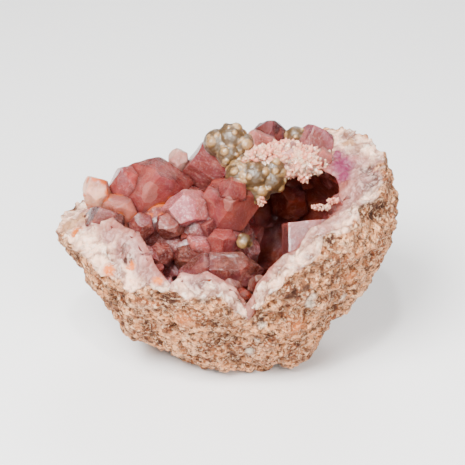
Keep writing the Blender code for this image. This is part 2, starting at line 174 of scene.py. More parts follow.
# Kinds of crystal: colour, and how frosted its faces are. SHADES is how far two of a kind may differ.
KINDS = {
    "salmon": ((0.47, 0.08, 0.07), 0.14),
    "rose": ((0.56, 0.1, 0.076), 0.12),
    "blush": ((0.5, 0.1, 0.105), 0.75),
    "mauve": ((0.28, 0.048, 0.046), 0.22),
    "lilac": ((0.48, 0.095, 0.12), 0.75),
    "brown": ((0.15, 0.038, 0.024), 0.15),
    "tan": ((0.24, 0.055, 0.03), 0.3),
    "ground": ((0.2, 0.045, 0.038), 0.6),
    "dusk": ((0.25, 0.058, 0.05), 0.3),
    "deep": ((0.32, 0.048, 0.018), 0.05),
    "smoky": ((0.1, 0.036, 0.036), 0.3),
    "plum": ((0.46, 0.125, 0.11), 0.25),
    "ochre": ((0.98, 0.5, 0.3), 0.6),
    "milky": ((0.8, 0.52, 0.41), 0.6),
    "peach": ((0.78, 0.26, 0.17), 0.35),
    "pale_lilac": ((0.66, 0.33, 0.32), 0.6),
    "pale_pink": ((0.82, 0.29, 0.2), 0.5),
    "purple": ((0.07, 0.018, 0.034), 0.1),
    "amethyst": ((0.38, 0.12, 0.175), 0.25),
    "clear": ((0.5, 0.26, 0.2), 0.05),
}
SHADES = (0.9, 1.1)

# The crystals that stand out: tip, azimuth and elevation in which each points, radius, length, roll
# of its faces, its height as a share of its width, how many faces its point has, and its kind. Its
# point is blunter than its tip says, because the faces are set in.
CRYSTALS = {
    "great": ((-18.6, -4, 61.4), 285, 43, 12.4, 26, -20, 0.85, 6, "salmon"),
    "great_foot": ((-32.4, -9, 53.2), 268, 38, 7, 16, 20, 0.85, 6, "peach"),
    "great_shoulder": ((-31.4, 2.2, 60.6), 245, 60, 6.4, 18, 0, 1, 6, "salmon"),
    "ochre_block": ((-39.8, -1, 60.4), 240, 70, 4.8, 14, 30, 1, 6, "ochre"),
    "smoky_edge": ((-37, -11, 55.8), 262, 60, 8, 12, 0, 0.6, 6, "smoky"),
    "mauve_back": ((-13, 6, 60.4), 232, 32, 9.6, 20, 100, 0.95, 3, "mauve"),
    "pale_tip": ((-14.9, 14, 61), 270, 65, 3.4, 12, 0, 1, 6, "milky"),
    "lilac": ((-18.3, -8.8, 52.8), 231, 26, 6.6, 18, 77, 1, 3, "lilac"),
    "lilac_foot": ((-20.2, -12, 47.6), 240, 15, 4.6, 12, 0, 1, 6, "tan"),
    "rose": ((2, -9, 56.3), 277, 35, 10.8, 24, 25, 0.9, 6, "rose"),
    "rose_cap": ((1.8, -5, 60.4), 272, 60, 4.6, 14, 0, 1, 6, "rose"),
    "blush_left": ((-9.8, -14, 44.8), 262, 40, 7.4, 16, 10, 0.85, 6, "blush"),
    "blush_right": ((-1, -15, 45.6), 275, 35, 5.8, 14, 25, 0.85, 6, "salmon"),
    "valley_high": ((-24.4, -13, 49.4), 275, 30, 4.4, 14, 10, 1, 6, "dusk"),
    "valley_low": ((-19.8, -17, 43.6), 260, 40, 4, 12, 30, 1, 6, "dusk"),
    "blush_end": ((-14.8, -17, 40.5), 240, 25, 4.2, 12, 0, 1, 6, "brown"),
    "brown_slab_right": ((13, -19, 38.4), 0, 0, 6.4, 18, 0, 0.95, 6, "brown"),
    "brown_slab_left": ((-15.6, -19, 37.6), 180, 0, 6.2, 18, 10, 0.95, 6, "brown"),
    "mauve_bud": ((0.6, -25.5, 38.6), 285, 30, 4.2, 10, 0, 0.85, 6, "mauve"),
    "clear_front": ((2.4, -31, 41), 290, 45, 3.4, 10, 0, 1, 6, "clear"),
    "gap_front": ((8.4, -29, 41.4), 262, 50, 3.4, 10, 0, 1, 6, "clear"),
    "ledge": ((14.4, -9, 51.4), 200, 52, 12.6, 26, 72, 1, 3, "plum"),
    "roof_pink": ((10.2, 13, 67), 275, 55, 5.2, 14, 0, 1, 6, "pale_pink"),
    "roof_purple": ((14.2, 19, 68.6), 290, 66, 6.4, 14, 15, 0.85, 6, "purple"),
    "roof_rose": ((26, 14.5, 70.8), 270, 74, 6.8, 14, 0, 0.95, 6, "amethyst"),
}

# Crystals that the solids leave out, given in the same way
DETAILS = {
    "valley_wall": ((-21.4, -15.5, 46), 75, 25, 4.6, 7, 20, 0.7, 6, "dusk"),
    "valley_end": ((-16, -22, 39.6), 70, 30, 4, 6, 10, 0.7, 6, "dusk"),
    "wall_inner": ((29.6, -6, 57.6), 200, 62, 5.4, 14, 15, 0.9, 3, "plum"),
    "wall_ridge": ((34.4, -7, 56.6), 240, 70, 2.4, 14, 0, 1, 6, "tan"),
    "wall_red": ((29.6, 9, 61.5), 250, 60, 4.4, 14, 0, 1, 6, "mauve"),
    "pale_back": ((11.4, -1.6, 48.6), 250, 60, 3, 12, 0, 1, 6, "pale_lilac"),
    "back_brown": ((18, 12, 44), 262, 30, 7, 18, 10, 1, 6, "deep"),
    "back_brown_right": ((29, 4, 43), 220, 35, 6, 16, 30, 1, 6, "deep"),
}

# Clear windows on a few faces, painted paler as highlights where they shine: middle and radius
WINDOWS = [
    ((-22.4, -1.4, 54.8), 4), ((-22.5, -0.9, 52.2), 4), ((0.3, -6.1, 53.4), 2.6),
    ((0.4, -6.1, 51.6), 2.4), ((-29.2, 2.3, 58.2), 1.6), ((9.7, 1.5, 49.7), 2),
]
CRYSTAL_EDGE = 0.9  # longest edge of the mesh of a crystal that stands out
MOST_DIVISIONS = 5
JOIN_AT_ONCE = 8

# Masses that smaller crystals stand on: middle, radii, how many stand on it, the share of its
# half-height above which they stand, the range of their radii, and their kinds. The first kind is
# that of the mass itself.
MASSES = {
    "heap": ((-13, 7, 31), (22, 18.5, 18), 60, -0.2, (1.6, 4.2), ("ground", "dusk", "mauve", "salmon")),
    "roof_druse": ((17.6, 12.5, 57.8), (13.4, 7, 4.4), 40, -0.95, (1.2, 2.4), ("pale_pink", "milky")),
}
MASS_ROUGHNESS = 0.15
MASS_GRAIN = 3.0
MASS_CHIP = 0.22
STANDS_OUT = (0.5, 1.2)  # how far a crystal's tip is above its mass, in radii
LINING_CRYSTALS = 150
LINING_RADIUS = (1.0, 3.0)
LINING_SPREAD = (0.04, 0.85)
LINING_TIP = (1.0, 0.8)  # a tip's height is the thickness, less the first, plus the second in radii
SPOT_DRIFT = 0.08  # of a turn
GOLDEN_TURN = 0.618034
LENGTH_IN_RADII = 3.0
SIDEWAYS_LEAN = 25.0
UPWARD_LEAN = 20.0

# Seams between crystals are painted darker, as shade. Iron has stained some of them: middle and radius of
# each stretch, and of the spots on the ochre crystal at the left.
SEAM_WIDTH = 0.7
IRON_STRENGTH = 1.4
IRON_SEAMS = [
    ((-41, -1, 51), 4.5), ((-35, -1, 54), 5), ((-33, -1, 52), 5),
    ((-29.6, -3.9, 51.2), 5), ((-26.6, -4.6, 49.2), 4.5), ((-21.1, -1.2, 47.3), 4),
    ((-19.2, 1.4, 48.9), 4), ((-16.7, 1.6, 51.8), 4), ((-14.4, 3, 53.1), 3.5),
    ((0.9, -9.8, 44.5), 3.5),
]
IRON_SPOTS = [
    ((-40.5, 1, 56.8), 1.8), ((-38.3, -0.2, 58.1), 1.8), ((-36, 0.2, 56.9), 2),
    ((-41.6, -1.5, 53.2), 1.2), ((-41.4, -0.1, 49.4), 1.2), ((-34.8, -0.8, 54), 1.8),
]

# Calcite: middle and radius of each ball, as in the solids
CALCITE = {
    "calcite_cluster_upper": [
        ((-3, 16, 61.4), 4.2), ((1.2, 16, 63), 4.4), ((4.8, 15, 61), 3.7),
        ((0.6, 13.5, 59), 4), ((3.8, 13.5, 57.6), 3.2), ((-2.4, 18.5, 58.4), 4.2),
    ],
    "calcite_cluster_lower": [
        ((3.2, 5.5, 55.8), 3.8), ((8, 5, 56.2), 4.4), ((12.9, 5.5, 54.2), 4),
        ((9, 4.2, 51.8), 4), ((13.9, 6.5, 57.8), 3.2),
    ],
    "calcite_ball": [((5, -10.5, 43), 2.1)],
    "calcite_knob": [((20.6, 18.5, 62.6), 2.9)],
}

# The smaller balls on them: radii, how many (times the square of a ball's radius), down to which
# share of its radius they sit, and how far each sinks in, in its own radii
BUD_RADIUS = (0.5, 2.1)
BUD_COUNT = 1.2
BUD_LOWEST = -0.8
BUD_SUNK = (0.45, 0.9)
CALCITE_VOXEL = 0.22
CALCITE_RELIEF = ((0.07, 0.5), (0.05, 1.3))

# Druse of tiny crystals: middle, radii, how many, range of radii
FRILL = [
    ((17.6, 12.5, 57.8), (13.3, 6.9, 4.5), 700, (0.35, 0.95)),
    ((10.8, 8.8, 60.6), (4.6, 3, 2.6), 100, (0.4, 1)),
    ((22.6, 7.4, 59.4), (3.4, 2.4, 2.6), 90, (0.4, 1.1)),
    ((22.6, 6.6, 56), (1.7, 1.4, 2.4), 34, (0.4, 0.9)),
    ((18, 6.2, 57), (1.4, 1.2, 1.6), 16, (0.4, 0.8)),
    ((26.4, 7, 57.6), (1.2, 1.2, 1.8), 16, (0.4, 0.8)),
    ((27, -8.4, 52.9), (2.6, 0.9, 0.7), 40, (0.2, 0.4)),
    ((30.4, -8.4, 55), (1.6, 0.9, 0.7), 26, (0.2, 0.4)),
    ((9.9, -2.6, 51.6), (0.9, 0.8, 1.4), 18, (0.25, 0.5)),
]
FRILL_SEED = 11
FRILL_LEAN = 0.6
FRILL_LENGTH = (2.0, 3.6)  # in radii
FRILL_PRISM = 0.55  # share of the length below the point
FRILL_ROOT = 0.4  # share of the length below the surface

# Stains and patches of the rock: middle and radius of each. The lilac ones are glassy.
STAINS = {
    "iron": [
        ((-43, -10, 45), 3), ((-42.6, -12, 44), 2), ((-27, -24.3, 43), 2),
        ((-27.3, -29, 41.2), 2.2), ((-19, -31.5, 42.4), 2), ((-33, -25, 42), 2.4),
        ((-12, -32, 30), 4), ((34, -24, 40), 3), ((20, -30, 26), 4),
        ((-30, 26, 40), 5), ((10, 36, 35), 5), ((44, 12, 40), 4),
    ],
    "lilac": [
        ((40, -2, 57), 9), ((35, 6, 57), 8), ((-33, -15, 46), 4),
        ((-27.6, -20.6, 45.6), 5), ((-22, -25, 43.4), 5), ((-18.6, -29.5, 42.6), 4),
        ((-8, -32.5, 42.5), 3.5), ((34, -10, 54), 6),
    ],
    "purple": [((33.9, 7.3, 58.6), 5), ((33.9, 3.6, 57), 3.6), ((32.8, 11.4, 60.2), 3)],
    "white": [
        ((7.9, -35, 30.2), 2.6), ((10, -30, 19), 2.2), ((24, -32, 36), 4.5),
        ((-22, -32, 30), 3.5), ((34, -22, 30), 4), ((3, -36, 34), 3),
        ((-46, 6, 35), 4), ((-20, 34, 30), 5), ((46, 10, 50), 4),
        ((9.9, -32.1, 28.3), 3), ((8.5, -28.5, 21), 2.4), ((6.7, -24.5, 14.4), 3),
        ((23.3, -29.2, 33.1), 3.2), ((4.5, -34, 36), 4.5), ((12, -33, 42), 6),
        ((20, -28, 46), 6), ((-6, -34, 40), 5),
    ],
    "tan": [((-45.6, -5, 46.2), 5), ((-43, -3.7, 47.5), 3.6), ((36, 16, 62), 3)],
    "dark": [
        ((17.4, -34, 39.5), 4), ((24.2, -31.5, 48.6), 2.6), ((22, -33, 41), 3),
        ((-14, -33, 27), 3), ((-3, -33.5, 36), 2.4), ((-30, -27, 26), 3),
        ((14, -33, 29), 2.2),
    ],
}

# Camera, floor and lights. The distances are in metres. Each light has an azimuth, an elevation, a
# distance, a size and a power.
AIM = (1.76, -1.05, 39.7)
CAMERA_DISTANCE = 0.4
CAMERA_ELEVATION = 30.0
LENS = 104.3
FLOOR_SIZE = 6.0
FLOOR_COLOUR = (0.94, 0.935, 0.925)
SKY_COLOUR = (1.0, 0.99, 0.98, 1.0)
SKY_STRENGTH = 0.34
LIGHTS = {
    "key": (238, 52, 0.7, 0.3, 15),
    "fill": (292, 32, 0.8, 0.4, 6),
    "back": (80, 45, 0.8, 0.4, 4),
    "glint": (264, 64, 0.7, 0.05, 2.5),
}


# Shapes of the rock


def smooth(share):
    """Ease from 0 to 1, held outside that range."""
    share = min(1.0, max(0.0, share))
    return share * share * (3.0 - 2.0 * share)


def direction(azimuth, elevation):
    """The unit vector that points this way."""
    turn = math.radians(azimuth)
    rise = math.radians(elevation)
    level = math.cos(rise)
    return Vector((math.cos(turn) * level, math.sin(turn) * level, math.sin(rise)))


def angles(vector):
    """The azimuth and elevation of a unit vector."""
    return math.degrees(math.atan2(vector.y, vector.x)), math.degrees(math.asin(vector.z))


def around(stations, azimuth):
    """The values of a list of stations at this azimuth, on straight lines between them."""
    first, last = stations[0], stations[-1]
    closed = [(last[0] - 360.0, *last[1:]), *stations, (first[0] + 360.0, *first[1:])]
    azimuth %= 360.0
    for low, high in zip(closed, closed[1:]):
        if low[0] <= azimuth <= high[0]:
            share = (azimuth - low[0]) / (high[0] - low[0])
            return [a + (b - a) * share for a, b in zip(low[1:], high[1:])]


def bowl_point(azimuth, height):
    """A point of the bowl that the rind's lumps stand on."""
    turn = math.radians(azimuth)
    power = BOWL_POWER - LEFT_FULLNESS * math.cos(turn)
    below = abs(height - WIDEST_HEIGHT) / BOWL_DEPTH
    share = (1.0 - below**power) ** (1.0 / power)
    reach = share / math.hypot(math.cos(turn) / HALF_WIDTH, math.sin(turn) / HALF_DEPTH)
    shift = FOOT_X * max(0.0, 1.0 - height / WIDEST_HEIGHT)
    return Vector((shift + reach * math.cos(turn), reach * math.sin(turn), height))


LOBE_PLACES = [(bowl_point(azimuth, height), out, width) for azimuth, height, out, width in LOBES]


def lump(point, size):
    """A rounded lump of this size, with creases between it and the next ones."""
    near = noise.voronoi(point / size)[0][0]
    return LUMP_MIDDLE - LUMP_ROUNDNESS * near * near


def relief(point):
    """How far the rind stands out at a point of the bowl."""
    out = LUMP_HEIGHT * lump(point, LUMP_SIZE) + SMALL_LUMP_HEIGHT * lump(point, SMALL_LUMP_SIZE)
    for middle, stands_out, width in LOBE_PLACES:
        away = (point - middle).length / width
        out += stands_out * math.exp(-2.0 * away * away)
    return out


def wall_point(azimuth, height):
    """A point of the rind at this azimuth and height."""
    point = bowl_point(azimuth, height)
    outward = (point - Vector((FOOT_X, 0.0, WIDEST_HEIGHT))).normalized()
    point += outward * relief(point)
    point.z = max(point.z, 0.0) if height > 0.0 else 0.0
    return point


def inner_edge(azimuth):
    """A point of the break's inner edge."""
    reach, height = around(INNER_RIM, azimuth)
    return direction(azimuth, 0.0) * reach + Vector((0.0, 0.0, height))


def hollow_point(azimuth, share, inset=0.0):
    """A point of the hollow, from the break's inner edge at share 0 down to the floor at share 1.
    The inset is measured from the rock into the hollow."""
    turn = math.radians(azimuth)
    middle = Vector(HOLLOW_MIDDLE)
    half_width, half_depth, half_height = (half - inset for half in HOLLOW_HALVES)
    reach = 1.0 / math.hypot(math.cos(turn) / half_width, math.sin(turn) / half_depth)
    edge = inner_edge(azimuth) - middle
    across = math.hypot(edge.x, edge.y) / reach
    up = edge.z / half_height
    start = math.atan2(up, across)
    angle = start + (-math.pi / 2.0 - start) * share
    near_edge = 1.0 - smooth(share / HOLLOW_BLEND)
    stretch = 1.0 + (math.hypot(up, across) - 1.0) * near_edge
    stretch *= 1.0 - 2.0 * inset / (half_width + half_depth) * near_edge
    level = direction(azimuth, 0.0) * reach * math.cos(angle) * stretch
    return middle + level + Vector((0.0, 0.0, half_height * math.sin(angle) * stretch))


def shell_point(azimuth, row, rows):
    """A point of the rock wall: rows run from the middle of the foot, up the rind, over the break
    and down the hollow to the middle of its floor."""
    if row <= rows["foot"]:
        foot = Vector((FOOT_X, 0.0, 0.0))
        return foot.lerp(wall_point(azimuth, 0.0), row / rows["foot"])
    row -= rows["foot"]
    top = around(OUTER_RIM, azimuth)[0]
    if row <= rows["wall"]:
        return wall_point(azimuth, top * row / rows["wall"])
    row -= rows["wall"]
    if row <= rows["break"]:
        share = row / rows["break"]
        point = wall_point(azimuth, top).lerp(inner_edge(azimuth), share)
        point.z += noise.noise(point / BREAK_GRAIN) * BREAK_ROUGHNESS * math.sin(math.pi * share)
        return point
    return hollow_point(azimuth, (row - rows["break"]) / rows["hollow"])


def lining_point(azimuth, row):
    """A point of the lining: rows run from the floor up its back to its edge, and down its face."""
    if row <= LINING_ROWS:
        share = 1.0 - (1.0 - LINING_START) * row / LINING_ROWS
        return hollow_point(azimuth, share, INTO_ROCK)
    share = (row - LINING_ROWS) / LINING_ROWS
    thickness = LINING_EDGE + (LINING_THICKNESS - LINING_EDGE) * smooth(share / LINING_FULL)
    down = LINING_START + (1.0 - LINING_START) * share
    return hollow_point(azimuth, down, INTO_ROCK + thickness)


def folded_ball(segments, rows, place):
    """A ball whose rows of points, from the lowest up, are moved by place(azimuth, row). Each
    point keeps its row as a value."""
    bm = bmesh.new()
    bmesh.ops.create_uvsphere(bm, u_segments=segments, v_segments=rows, radius=1.0)
    layer = bm.verts.layers.float.new("row")
    for vert in bm.verts:
        height = max(-1.0, min(1.0, vert.co.z))
        row = round((1.0 - math.acos(height) / math.pi) * rows)
        azimuth = math.degrees(math.atan2(vert.co.y, vert.co.x))
        vert[layer] = row
        vert.co = place(azimuth, row)
    return bm


def shell_ball(segments, rows):
    """The rock wall, with this many rows in each of its stretches."""
    return folded_ball(segments, sum(rows.values()), lambda azimuth, row: shell_point(azimuth, row, rows))


# Mesh tools


def new_object(bm, name="piece"):
    """An object with the mesh that bm holds, its faces pointing out."""
    bmesh.ops.recalc_face_normals(bm, faces=bm.faces)
    mesh = bpy.data.meshes.new(name)
    bm.to_mesh(mesh)
    bm.free()
    return bpy.data.objects.new(name, mesh)


def applied(obj, name):
    """An object with this one's mesh as its modifiers leave it, in its place."""
    bpy.context.scene.collection.objects.link(obj)
    graph = bpy.context.evaluated_depsgraph_get()
    mesh = bpy.data.meshes.new_from_object(obj.evaluated_get(graph))
    bpy.data.objects.remove(obj)
    mesh.name = name
    return bpy.data.objects.new(name, mesh)


def combined(name, first, operation, others):
    """The first object joined with, or cut by, the others, as one object that takes their place."""
    if not others:
        return first
    operands = bpy.data.collections.new("operands")
    bpy.context.scene.collection.children.link(operands)
    for obj in others:
        operands.objects.link(obj)
    change = first.modifiers.new("combine", "BOOLEAN")
    change.operation = operation
    change.operand_type = "COLLECTION"
    change.collection = operands
    change.solver = "MANIFOLD"
    result = applied(first, name)
    for obj in others:
        bpy.data.objects.remove(obj)
    bpy.data.collections.remove(operands)
    return result


def joined(name, objects):
    """All of these objects as one, joined a few at a time, because that is faster."""
    while len(objects) > 1:
        groups = [objects[start:start + JOIN_AT_ONCE] for start in range(0, len(objects), JOIN_AT_ONCE)]
        objects = [combined(name, group[0], "UNION", group[1:]) for group in groups]
    return objects[0]


def keep_largest(obj):
    """Delete every loose body of this object but the largest."""
    bm = bmesh.new()
    bm.from_mesh(obj.data)
    waiting = set(bm.verts)
    bodies = []
    while waiting:
        reached = {waiting.pop()}
        body = set(reached)
        while reached:
            reached = {edge.other_vert(vert) for vert in reached for edge in vert.link_edges} - body
            body |= reached
        waiting -= body
        bodies.append(body)
    for body in sorted(bodies, key=len)[:-1]:
        bmesh.ops.delete(bm, geom=list(body), context="VERTS")
    bm.to_mesh(obj.data)
    bm.free()


def refine(bm, longest):
    """Divide the faces until hardly an edge is longer than this."""
    bmesh.ops.triangulate(bm, faces=bm.faces)
    for step in range(MOST_DIVISIONS):
        long_edges = [edge for edge in bm.edges if edge.calc_length() > longest]
        bmesh.ops.subdivide_edges(bm, edges=long_edges, cuts=1)
        bmesh.ops.triangulate(bm, faces=bm.faces)


def soften(bm):
    """Move each point half way to the middle of its neighbours."""
    axes = {"use_axis_x": True, "use_axis_y": True, "use_axis_z": True}
    bmesh.ops.smooth_vert(bm, verts=bm.verts, factor=0.5, **axes)


def push_out(bm, height_at):
    """Move each point along its normal by height_at(point)."""
    bm.normal_update()
    moves = [vert.normal * height_at(vert.co) for vert in bm.verts]
    for vert, move in zip(bm.verts, moves):
        vert.co += move


def search_tree(points):
    """A tree that finds the nearest of these points."""
    tree = kdtree.KDTree(len(points))
    for index, point in enumerate(points):
        tree.insert(point, index)
    tree.balance()
    return tree


def set_values(mesh, name, values, kind="FLOAT", domain="POINT"):
    """Store one value for each point or face, for a material to read."""
    attribute = mesh.attributes.new(name, kind, domain)
    field = "color" if kind == "FLOAT_COLOR" else "value"
    attribute.data.foreach_set(field, np.asarray(values, np.float32).ravel())


def placed(obj, slot, material, *nodes):
    """Take a finished piece into the frame, where it stands for these solids."""
    obj.data.transform(INTO_FRAME)
    obj.data.materials.clear()
    obj.data.materials.append(material)
    bpy.context.scene.collection.objects.link(obj)
    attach(obj, "root")
    if nodes:
        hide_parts(*nodes)


# Rock


def layered(shape, point, layers):
    """The sum of some layers of one shape, each with its height and size."""
    return sum(height * shape(point, size) for height, size in layers)


def ripple(point, size):
    """Smooth waves of this size."""
    return noise.noise(point / size)


def knob(point, size):
    """Rounded knobs of this size, above 0 on top and below it in the creases between them."""
    near = noise.voronoi(point / size)[0][0]
    return KNOB_TOP - KNOB_FALL * near * near


def facets(point, size):
    """A surface of flat chips of this size, each tilted its own way."""
    middle = noise.voronoi(point / size)[1][0]
    tilt = noise.noise_vector(middle * CHIP_SPREAD)
    return (point / size - middle).dot(tilt)


def rind_height(point):
    """Fine relief of the rind: knobs, grains and pits."""
    bend, bend_size = KNOB_BEND
    bent = point + bend * noise.noise_vector(point / bend_size)
    knobs = layered(knob, bent, RIND_KNOBS) + layered(knob, point, RIND_GRAINS)
    grit, grit_size = RIND_GRIT
    rough = noise.fractal(point / grit_size, *GRIT_LAYERS)
    depth, pit_size = RIND_PITS
    pit = max(0.0, ripple(point, pit_size) - PIT_START)
    return knobs + grit * rough - depth * pit


def break_height(point):
    """Fine relief of the broken quartz: chips, and low knobs on them."""
    return layered(facets, point, BREAK_CHIPS) + layered(knob, point, BREAK_KNOBS)


def nearness(points, places):
    """How near each point is to the closest of these places: 1 in its middle, and about 0 beyond
    its radius."""
    found = np.zeros(len(points))
    for middle, radius in places:
        away = np.linalg.norm(points - np.array(middle), axis=1) / radius
        found = np.maximum(found, np.exp(-2.0 * away * away))
    return found


def points_of(mesh):
    """The mesh's points, as rows of three numbers."""
    points = np.empty(3 * len(mesh.vertices), np.float32)
    mesh.vertices.foreach_get("co", points)
    return points.reshape(-1, 3)


def rock():
    """The rock wall, with its fine relief and the values that its colours follow."""
    rows = FINE_ROWS
    rim = rows["foot"] + rows["wall"]
    bm = shell_ball(FINE_SEGMENTS, rows)
    bm.normal_update()
    layer = bm.verts.layers.float["row"]
    glassy = nearness(np.array([vert.co for vert in bm.verts]), STAINS["lilac"])
    hollow = search_tree([vert.co for vert in bm.verts if vert[layer] >= rim + rows["break"]])
    values = {"broken": [], "inner": [], "height": [], "chip": []}
    moves = []
    for vert, calm in zip(bm.verts, glassy):
        row = vert[layer]
        point = vert.co
        over = (row - rim) / rows["break"]  # 0 at the outer edge of the break, 1 at the inner one
        past_rim = (row - rim) / rows["wall"] * RIND_LENGTH if row < rim else over * BREAK_WIDTH
        broken = smooth(past_rim + layered(ripple, point, RIM_WANDER) + 0.5)  # a half at the rim
        rind = rind_height(point)
        chip = break_height(point) if broken > 0.0 else 0.0
        values["broken"].append(broken)
        values["inner"].append(smooth(over + layered(ripple, point, INNER_WANDER)))
        values["height"].append(rind + layered(lump, point, RIND_LUMPS))
        values["chip"].append(chip)

        out = rind * (1.0 - broken) + chip * broken * (1.0 - CALM * calm)
        out *= 1.0 - INTO_HOLLOW * smooth(3.0 * over - 2.0)  # over the last third of the break
        near_rim = smooth(1.0 - abs(over))
        out = max(out, -RIM_DENT - MORE_DENT * (1.0 - near_rim))
        if row < rim:
            out = max(out, LEAST_WALL - hollow.find(point)[2])
        if row <= rows["foot"]:
            out = 0.0
        moves.append(vert.normal * out - Vector((0.0, 0.0, RIM_DROP * near_rim)))
    for vert, move in zip(bm.verts, moves):
        vert.co += move
        vert.co.z = max(vert.co.z, 0.0)
    obj = new_object(bm, "geode_rock")
    for name, found in values.items():
        set_values(obj.data, name, found)
    points = points_of(obj.data)
    for name, places in STAINS.items():
        set_values(obj.data, name, nearness(points, places))
    obj.data.shade_smooth()
    placed(obj, "rock", rock_material(), "geode_shell")


# Crystals


def quartz_planes(radius, length, roll, faces, dice):
    """The planes of a quartz crystal that points up, with its tip at the origin: a point and an
    outward normal each."""
    planes = [(Vector((0.0, 0.0, -length)), Vector((0.0, 0.0, -1.0)))]
    for side in range(6):
        level = direction(60.0 * side + roll, 0.0)
        reach = radius * math.cos(math.pi / 6.0) * dice.uniform(*PRISM_UNEVEN)
        planes.append((level * reach, level))
        sloping = direction(60.0 * side + roll, POINT_SLOPE)
        if side % 2:
            planes.append((sloping * -radius * dice.uniform(*LARGE_FACE_SET_IN), sloping))
        elif faces == 6:
            planes.append((sloping * -radius * dice.uniform(*SMALL_FACE_SET_IN), sloping))
    return planes


def quartz(tip, azimuth, elevation, radius, length, roll, flatness, faces, seed, edge=0.0):
    """A quartz crystal. If it has a longest edge, its faces are finely divided and uneven and its
    edges a little eased."""
    bm = bmesh.new()
    bmesh.ops.create_cube(bm, size=4.0 * (radius + length))
    for point, normal in quartz_planes(radius, length, roll, faces, random.Random(seed)):
        parts = bm.verts[:] + bm.edges[:] + bm.faces[:]
        cut = bmesh.ops.bisect_plane(bm, geom=parts, plane_co=point, plane_no=normal, clear_outer=True)
        rim = [part for part in cut["geom_cut"] if isinstance(part, bmesh.types.BMEdge)]
        if rim:
            bmesh.ops.contextual_create(bm, geom=rim)
    turn = direction(azimuth, elevation).to_track_quat("Z", "Y").to_matrix().to_4x4()
    place = Matrix.Translation(tip) @ turn @ Matrix.Diagonal((1.0, flatness, 1.0, 1.0))
    bmesh.ops.transform(bm, matrix=place, verts=bm.verts)
    bmesh.ops.recalc_face_normals(bm, faces=bm.faces)
    tone = bm.faces.layers.float.new("tone")
    dice = random.Random(seed + TONE_SEED)
    for face in bm.faces:
        face[tone] = dice.uniform(-1.0, 1.0)
    if edge:
        refine(bm, edge)
        soften(bm)
        relief = ((SWELL * radius, SWELL_SIZE * radius), *FACE_RELIEF)
        push_out(bm, lambda point: layered(ripple, point, relief))
    return new_object(bm)


def small_quartz(tip, outward, radius, dice, seed):
    """A small quartz crystal that leans by chance from this direction."""
    azimuth, elevation = angles(outward)
    azimuth += dice.uniform(-SIDEWAYS_LEAN, SIDEWAYS_LEAN)
    elevation += dice.uniform(-UPWARD_LEAN, UPWARD_LEAN)
    roll = dice.uniform(0.0, 60.0)
    length = LENGTH_IN_RADII * radius
    faces = dice.choice((3, 6))
    return quartz(tip, azimuth, elevation, radius, length, roll, 1.0, faces, seed)


def lining_crystals():
    """The small crystals of the lining, which point into the hollow."""
    dice = random.Random(LINING_SEED)
    found = []
    for number in range(LINING_CRYSTALS):
        root = hollow_point(360.0 * number * GOLDEN_TURN, dice.uniform(*LINING_SPREAD))
        inward = (Vector(HOLLOW_MIDDLE) - root).normalized()
        radius = dice.uniform(*LINING_RADIUS)
        sunk, stands_out = LINING_TIP
        tip = root + inward * (LINING_THICKNESS - sunk + stands_out * radius)
        found.append((small_quartz(tip, inward, radius, dice, number), "deep"))
    return found


def rounded_mass(middle, radii):
    """An uneven ellipsoid that smaller crystals stand on."""
    bm = bmesh.new()
    bmesh.ops.create_icosphere(bm, subdivisions=5, radius=1.0)
    for vert in bm.verts:
        rough = 1.0 + MASS_ROUGHNESS * (noise.noise(vert.co * MASS_GRAIN) + facets(vert.co, MASS_CHIP))
        vert.co = Vector(middle) + vert.co * Vector(radii) * rough
    return new_object(bm)


def spots_on(middle, radii, count, lowest, dice):
    """Points spread over an ellipsoid, each with the direction out of it there."""
    found = []
    for number in range(count):
        height = lowest + (1.0 - lowest) * (number + 0.5) / count
        ring = math.sqrt(1.0 - height * height)
        turn = 2.0 * math.pi * (number * GOLDEN_TURN + dice.uniform(0.0, SPOT_DRIFT))
        spot = Vector((ring * math.cos(turn), ring * math.sin(turn), height))
        outward = Vector([share / half for share, half in zip(spot, radii)]).normalized()
        found.append((Vector(middle) + spot * Vector(radii), outward))
    return found


def crystals_on(middle, radii, count, lowest, radius_range, kinds):
    """Crystals spread over an ellipsoid, each pointing more or less straight out of it."""
    dice = random.Random(count)
    found = []
    for number, (spot, outward) in enumerate(spots_on(middle, radii, count, lowest, dice)):
        radius = dice.uniform(*radius_range)
        tip = spot + outward * radius * dice.uniform(*STANDS_OUT)
        kind = dice.choice(kinds)
        found.append((small_quartz(tip, outward, radius, dice, number), kind))
    return found


def coarse_rock(swell):
    """The rock with faces as large as the solid's, and moved outwards by this much."""
    bm = shell_ball(COARSE_SEGMENTS, COARSE_ROWS)
    bmesh.ops.recalc_face_normals(bm, faces=bm.faces)
    bm.normal_update()
    moves = [vert.normal * swell * vert.calc_shell_factor() for vert in bm.verts]
    for vert, move in zip(bm.verts, moves):
        vert.co += move
    return new_object(bm)


def inside_of_rind():
    """The space that crystals may fill: inside the rind, and anywhere above it."""

    def place(azimuth, row):
        """Up the inside of the rind, out and up above it, and in to the axis."""
        share = row / LIMIT_ROWS
        if share <= LIMIT_WALL:
            top = around(OUTER_RIM, azimuth)[0]
            point = wall_point(azimuth, top * share / LIMIT_WALL)
            middle = Vector((FOOT_X, 0.0, WIDEST_HEIGHT))
            return point + (middle - point).normalized() * RIND_LEFT
        closes, closing = LIMIT_CLOSES
        reach = LIMIT_REACH * (1.0 - smooth((share - closes) / closing))
        low, rise = LIMIT_TOP
        return direction(azimuth, 0.0) * reach + Vector((0.0, 0.0, low + rise * share))

    return new_object(folded_ball(LIMIT_SEGMENTS, LIMIT_ROWS, place))


